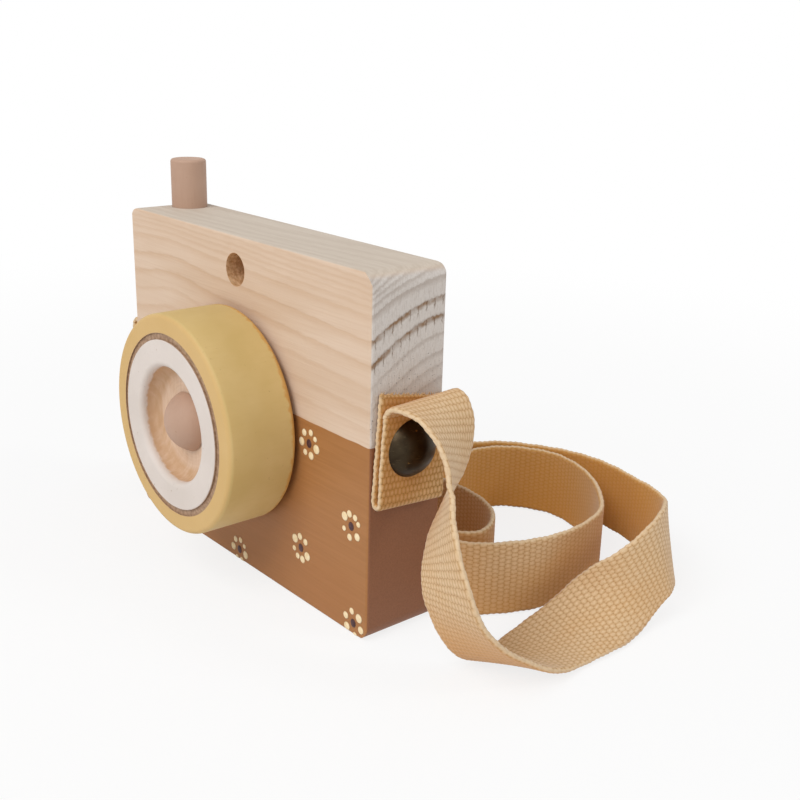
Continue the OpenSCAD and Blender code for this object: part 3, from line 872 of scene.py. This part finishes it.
def face_look():
    """Off-white paint that ends raggedly inside the dish, and a bare rim towards the groove."""
    look = Look("white_paint")
    place, radius, y = lens_place(look)
    color, height = paint(look, place, srgb(222, 211, 203), srgb(215, 204, 195))
    behind = look.math("SUBTRACT", y, FACE_FRONT_Y)
    outermost = look.remap(radius, FACE_R - RIM_START, FACE_R - RIM_FULL)
    on_rim = look.product(outermost, look.remap(behind, *RIM_BEHIND))
    color = look.mix(on_rim, color, bare_groove(look, place))
    wood, wood_height = turned_wood(look, place, radius)
    depth = look.math("ADD", behind, look.jitter(look.noise(place, scale=0.7, detail=2), DISH_RAGGED))
    deep = look.remap(depth, DISH_PAINT_DEPTH - DISH_PAINT_FADE, DISH_PAINT_DEPTH + DISH_PAINT_FADE)
    beyond_lip = look.math("SUBTRACT", radius, DISH_R)
    in_dish = look.product(deep, look.remap(beyond_lip, *DISH_LIP))
    color = look.mix(in_dish, color, wood)
    height = look.mix(in_dish, height, wood_height)
    return painted(look, color, height, 0.6)


def taupe_look():
    """Taupe paint of the dowel and the nose."""
    look = Look("taupe_paint")
    color, height = paint(
        look, look.place(), srgb(189, 156, 135), srgb(179, 145, 124), fine=(1.6, 1.6, 0.12),
    )
    return painted(look, color, height, 0.6)


# Small hardware and dots of paint

def felt_look():
    """Dark felt of the washer."""
    look = Look("felt")
    fuzz = look.noise(look.place(), scale=3.0, detail=4)
    color = look.mix(fuzz, srgb(70, 48, 36), srgb(44, 30, 23))
    return look.finish(color=color, rough=0.95, normal=look.bump(fuzz, 0.6, 0.2 * MM), specular=0.1)


def steel_look():
    """Drawn steel wire."""
    look = Look("steel")
    drawn = look.noise(look.scaled(look.place(), (6, 1, 6)), detail=3)
    color = look.mix(drawn, srgb(190, 190, 192), srgb(168, 168, 170))
    rough = look.remap(drawn, 0.3, 0.7, 0.25, 0.4)
    return look.finish(color=color, rough=rough, normal=look.bump(drawn, 0.2, 0.05 * MM), metal=1.0)


def bronze_look():
    """Dark antique bronze with scratches and a few bright specks."""
    look = Look("antique_bronze")
    place = look.place()
    cloud = look.noise(place, scale=0.35, detail=4)
    scratch = look.noise(look.scaled(place, (1, 0.5, 3.5)), detail=3)
    speck = look.noise(place, scale=0.55, detail=1)
    color = look.mix(look.remap(cloud, 0.3, 0.7), srgb(52, 42, 31), srgb(68, 58, 44))
    color = look.mix(look.remap(scratch, 0.6, 0.75, 0, 0.35), color, srgb(112, 98, 74))
    color = look.mix(look.remap(speck, 0.72, 0.78, 0, 0.8), color, srgb(150, 112, 56))
    rough = look.remap(cloud, 0.3, 0.7, 0.3, 0.45)
    height = look.math("ADD", cloud, look.product(scratch, 0.3))
    return look.finish(color=color, rough=rough, normal=look.bump(height, 0.3, 0.12 * MM), metal=1.0)


def dot_look(name, light, dark):
    """Thick paint of the dots, with a brown rim where it thins out."""
    look = Look(name)
    cloud = look.noise(look.place(), scale=0.8, detail=3)
    color = look.blend(cloud, light, dark)
    outward = look.add("Attribute", attribute_name="outward").outputs["Fac"]
    color = look.mix(look.remap(outward, 0.8, 1.0, 0, 0.75), color, srgb(136, 94, 56))
    return look.finish(color=color, rough=0.5, normal=look.bump(cloud, 0.3, 0.1 * MM), specular=0.3)


# Dotted daisies on the front: middle of each flower, then angle and diameter of each petal

BLOCK_FRONT = box_mm("body_block")[0].y
EDGE_R = 0.8
PETAL_REACH = 3.05
CENTRE_SIZE = (2.15, 2.4)
DOT_RISE = 0.22
DOT_SINK = 0.02
LOWEST_DOT_Z = 0.05
DOT_RINGS = 5
DOT_SIDES = 28
FLOWERS = [
    ((31.7, 44.1), [(130, 2.0), (76, 1.85), (36, 1.55), (-12, 2.6), (-74, 2.2), (-121, 1.75), (185, 2.4)]),
    ((48.6, 28.4), [(103, 2.0), (61, 1.8), (27, 1.55), (-40, 2.2), (-100, 1.95), (208, 1.5), (145, 2.5)]),
    ((28.1, 14.9), [(97, 2.05), (49, 1.95), (-27, 2.55), (-77, 2.2), (-117, 1.8), (201, 1.6), (145, 2.6)]),
    ((49.8, 3.2), [(101, 1.9), (45, 2.55), (-13, 2.2), (-77, 1.7), (217, 2.4), (162, 2.05)]),
    ((-1.0, 3.2), [(128, 2.0), (78, 1.85), (36, 1.5), (-12, 2.5), (-70, 1.9), (-116, 1.6), (182, 2.4)]),
]


def front_surface(z):
    """Depth of the block's front at height z, with its rounded lower edge."""
    below = max(0.0, EDGE_R - z)
    return BLOCK_FRONT + EDGE_R - math.sqrt(max(0.0, EDGE_R ** 2 - below ** 2))


def dots(name, places, material):
    """Small domes of thick paint on the front.

    places holds middle x, middle z, width and height of each dot. The outward attribute grows from 0 in
    the middle of a dot to 1 at its edge.
    """
    verts = []
    faces = []
    outward = []
    for middle_x, middle_z, wide, tall in places:
        first = len(verts)
        for ring in range(DOT_RINGS):
            share = 1 - ring / (DOT_RINGS - 0.5)
            rise = DOT_RISE * math.sqrt(1 - share ** 2) - DOT_SINK
            for k in range(DOT_SIDES):
                angle = 2 * math.pi * k / DOT_SIDES
                x = middle_x + wide / 2 * share * math.cos(angle)
                z = max(middle_z + tall / 2 * share * math.sin(angle), LOWEST_DOT_Z)
                verts.append((x, front_surface(z) - rise, z))
                outward.append(share)
        for ring in range(DOT_RINGS - 1):
            for k in range(DOT_SIDES):
                here = first + ring * DOT_SIDES + k
                beside = first + ring * DOT_SIDES + (k + 1) % DOT_SIDES
                faces.append((here, beside, beside + DOT_SIDES, here + DOT_SIDES))
        faces.append([first + (DOT_RINGS - 1) * DOT_SIDES + k for k in range(DOT_SIDES)])
        faces.append([first + k for k in reversed(range(DOT_SIDES))])
    piece = mesh_piece(name, verts, faces, material)
    piece.data.attributes.new("outward", "FLOAT", "POINT").data.foreach_set("value", outward)
    piece.data.shade_smooth()
    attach(piece, "camera_body")


petals = []
centres = []
for (flower_x, flower_z), flower_petals in FLOWERS:
    centres.append((flower_x, flower_z, *CENTRE_SIZE))
    for degrees, size in flower_petals:
        petal_x = flower_x + PETAL_REACH * math.cos(math.radians(degrees))
        petal_z = flower_z + PETAL_REACH * math.sin(math.radians(degrees))
        petals.append((petal_x, petal_z, size, size))
cream = dot_look("cream_dots", srgb(250, 232, 194), srgb(240, 216, 170))
plum = dot_look("plum_dots", srgb(86, 58, 58), srgb(70, 44, 46))
dots("daisy_petals", petals, cream)
dots("daisy_centres", centres, plum)


# Finishes of the solids

taupe = taupe_look()
steel = steel_look()
bronze = bronze_look()
FINISHES = {
    "body_block": pine_look(), "lens_barrel": barrel_look(), "lens_face": face_look(), "lens_peg": taupe,
    "lens_washer": felt_look(), "shutter_button": taupe, "shutter_spring": steel, "shutter_stop_pin": steel,
    "tack_cap_right": bronze, "tack_cap_left": bronze, "tack_nail_right": steel, "tack_nail_left": steel,
}
for name, material in FINISHES.items():
    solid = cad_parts[name]
    if not solid.material_slots:
        solid.data.materials.append(material)
    for material_slot in solid.material_slots:
        material_slot.material = material


# Light and floor

SKY = 0.5
FLOOR_HALF = 6000.0
FLOOR_DROP = 0.03
FLOOR_GREY = 0.9
FLOOR_WHITE = 0.8
FADE_FROM = 120.0
FADE_TO = 450.0

# Place of each lamp in metres, its power in watts and its size in metres, and the point they all face
LAMPS = {"key": ((0.25, -1.4, 1.6), 25, 1.3), "fill": ((1.4, 0.9, 1.2), 5.5, 0.5)}
LAMP_AIM = Vector((0.02, 0.02, 0.04))


def seen_directly(tree):
    """1 for rays from the camera, from gloss and through glass, and 0 for rays that light the object."""
    path = tree.nodes.new("ShaderNodeLightPath")
    seen = path.outputs["Is Camera Ray"]
    for other in ("Is Glossy Ray", "Is Transmission Ray"):
        either = tree.nodes.new("ShaderNodeMath")
        either.operation = "MAXIMUM"
        tree.links.new(seen, either.inputs[0])
        tree.links.new(path.outputs[other], either.inputs[1])
        seen = either.outputs[0]
    return seen


def make_world():
    """White where it is seen, and a plain soft sky for the object."""
    world = bpy.data.worlds.new("studio")
    world.use_nodes = True
    scene.world = world
    tree = world.node_tree
    level = tree.nodes.new("ShaderNodeMapRange")
    level.inputs["To Min"].default_value = SKY
    level.inputs["To Max"].default_value = 1.0
    tree.links.new(seen_directly(tree), level.inputs["Value"])
    background = tree.nodes["Background"]
    background.inputs["Color"].default_value = (1, 1, 1, 1)
    tree.links.new(level.outputs[0], background.inputs["Strength"])


def floor_look():
    """Pale floor that keeps the object's shadow and fades to white further away."""
    look = Look("floor_white")
    matt = look.add("BsdfDiffuse", {"Color": (FLOOR_GREY, FLOOR_GREY, FLOOR_GREY, 1)}).outputs[0]
    white = look.add("Emission").outputs[0]
    away = look.add("VectorMath", {0: look.place()}, operation="LENGTH").outputs["Value"]
    fade = look.remap(away, FADE_FROM, FADE_TO, FLOOR_WHITE, 1.0, smooth=True)
    share = look.product(seen_directly(look.tree), fade)
    both = look.add("MixShader", {0: share, 1: matt, 2: white}).outputs[0]
    look.fill(look.tree.nodes["Material Output"].inputs["Surface"], both)
    look.tree.nodes.remove(look.shader)
    return look.material


def make_floor():
    """Wide floor a hair below the object."""
    signs = ((-1, -1), (1, -1), (1, 1), (-1, 1))
    corners = [(x * FLOOR_HALF, y * FLOOR_HALF, -FLOOR_DROP) for x, y in signs]
    mesh_piece("floor", corners, [(0, 1, 2, 3)], floor_look())


def make_lamp(name, at, watts, size):
    """Square soft lamp that faces the middle of the object."""
    data = bpy.data.lights.new(name, "AREA")
    data.energy = watts
    data.size = size
    lamp = bpy.data.objects.new(name, data)
    lamp.location = at
    lamp.rotation_euler = (LAMP_AIM - Vector(at)).to_track_quat("-Z", "Y").to_euler()
    scene.collection.objects.link(lamp)


make_world()
make_floor()
for name, (at, watts, size) in LAMPS.items():
    make_lamp(name, at, watts, size)
scene.view_settings.view_transform = "Standard"
